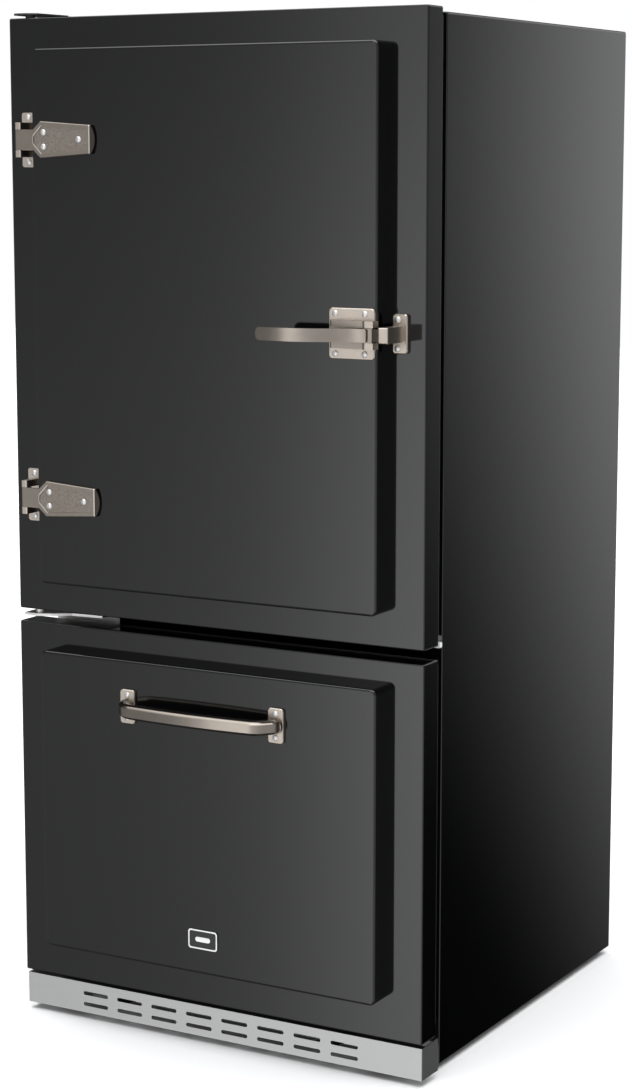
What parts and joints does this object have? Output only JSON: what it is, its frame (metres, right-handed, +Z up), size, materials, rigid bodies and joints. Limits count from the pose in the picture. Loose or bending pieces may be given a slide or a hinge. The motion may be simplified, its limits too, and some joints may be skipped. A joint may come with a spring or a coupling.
{
  "type": "bottom-freezer refrigerator",
  "caption": "Retro refrigerator with a hinged upper door, icebox-style latch and strap hinges, and a freezer drawer with a bar handle below.",
  "frame": {"origin": "on the floor, at the centre of the outline seen from above", "axes": "+Z up; the doors face -Y; +X to the right of a person who stands in front of the doors"},
  "size_m": [0.756, 0.872, 1.6632],
  "materials": {
    "black_enamel": "gloss",
    "satin_nickel": "satin",
    "bright_steel": "polished",
    "stainless": "satin",
    "galvanised": "satin",
    "black_steel": "satin",
    "foam": "matte",
    "white_plastic": "gloss",
    "black_plastic": "matte",
    "grey_plastic": "satin",
    "clear_plastic": "gloss",
    "clear_glass": "polished",
    "black_rubber": "matte",
    "white_seal": "matte",
    "bare_aluminium": "satin"
  },
  "bodies": {
    "cabinet": {"cabinet_shell": "black_enamel", "cabinet_back_panel": "galvanised", "insulation": "foam", "fridge_liner": "white_plastic", "freezer_liner": "white_plastic", "base_frame": "black_steel", "front_feet": "grey_plastic", "kick_plate": "stainless", "top_hinge_bracket": "black_steel", "top_hinge_cover": "black_plastic", "centre_hinge_bracket": "bright_steel", "hinge_hole_plug": "white_plastic", "shelf_ladders": "white_plastic", "shelf_brackets": "white_plastic", "shelf_glass": "clear_glass", "shelf_trims": "white_plastic", "crisper_cover": "white_plastic", "crispers": "clear_plastic", "control_housing": "white_plastic", "evaporator_cover": "white_plastic", "evaporator_coil": "bare_aluminium", "evaporator_fan_motor": "galvanised", "compressor": "black_steel", "condenser": "black_steel", "condenser_fan_motor": "galvanised", "rear_cover": "galvanised", "power_inlet": "black_plastic", "drawer_rails_fixed": "galvanised"},
    "door": {"door_slab": "black_enamel", "door_panel": "black_enamel", "door_core": "black_steel", "door_liner": "white_plastic", "door_gasket": "black_rubber", "door_bins": "clear_plastic", "dairy_box": "white_plastic", "hinge_bases": "satin_nickel", "hinge_straps": "satin_nickel", "pivot_pins": "bright_steel", "door_screws": "bright_steel", "latch_body": "satin_nickel", "latch_keeper": "satin_nickel"},
    "drawer": {"drawer_slab": "black_enamel", "drawer_panel": "black_enamel", "drawer_core": "black_steel", "drawer_liner": "white_plastic", "drawer_gasket": "black_rubber", "drawer_basket": "white_plastic", "drawer_rails_moving": "galvanised", "handle_plates": "satin_nickel", "handle_bar": "satin_nickel", "handle_screws": "bright_steel", "badge": "satin_nickel"},
    "latch_lever": {"latch_lever": "satin_nickel"},
    "dairy_lid": {"dairy_lid": "clear_plastic"},
    "evaporator_fan": {"evaporator_fan": "black_plastic"},
    "condenser_fan": {"condenser_fan": "black_plastic"},
    "temperature_knob": {"temperature_knob": "grey_plastic"},
    "freezer_tray": {"freezer_tray": "clear_plastic"},
    "rear_roller_left": {"rear_roller_left": "grey_plastic"},
    "rear_roller_right": {"rear_roller_right": "grey_plastic"}
  },
  "joints": [
    {"name": "door_hinge", "type": "hinge", "parent": "cabinet", "child": "door", "pos_m": [-0.35, -0.317, 1.175], "axis": [0, 0, -1], "range_deg": [0, 125]},
    {"name": "drawer_slide", "type": "slide", "parent": "cabinet", "child": "drawer", "axis": [0, -1, 0], "range_m": [0, 0.36]},
    {"name": "latch_lever_pivot", "type": "hinge", "parent": "door", "child": "latch_lever", "pos_m": [0.313, -0.389, 1.1748], "axis": [0, 0, 1], "range_deg": [0, 14], "stiffness_Nm_per_rad": 1.5},
    {"name": "dairy_lid_hinge", "type": "hinge", "parent": "door", "child": "dairy_lid", "pos_m": [-0.136, -0.158, 1.534], "axis": [1, 0, 0], "range_deg": [0, 90]},
    {"name": "temperature_knob_turn", "type": "hinge", "parent": "cabinet", "child": "temperature_knob", "pos_m": [0.095, -0.069, 1.586], "axis": [0, 1, 0], "range_deg": [-135, 135]},
    {"name": "evaporator_fan_spin", "type": "hinge", "parent": "cabinet", "child": "evaporator_fan", "pos_m": [0, 0.333, 0.55], "axis": [0, 1, 0], "continuous": true},
    {"name": "condenser_fan_spin", "type": "hinge", "parent": "cabinet", "child": "condenser_fan", "pos_m": [0.15, 0.348, 0.112], "axis": [0, 1, 0], "continuous": true},
    {"name": "freezer_tray_slide", "type": "slide", "parent": "drawer", "child": "freezer_tray", "axis": [0, 1, 0], "range_m": [0, 0.115]},
    {"name": "rear_roller_left_spin", "type": "hinge", "parent": "cabinet", "child": "rear_roller_left", "pos_m": [-0.319, 0.4, 0.016], "axis": [1, 0, 0], "continuous": true},
    {"name": "rear_roller_right_spin", "type": "hinge", "parent": "cabinet", "child": "rear_roller_right", "pos_m": [0.319, 0.4, 0.016], "axis": [1, 0, 0], "continuous": true}
  ]
}
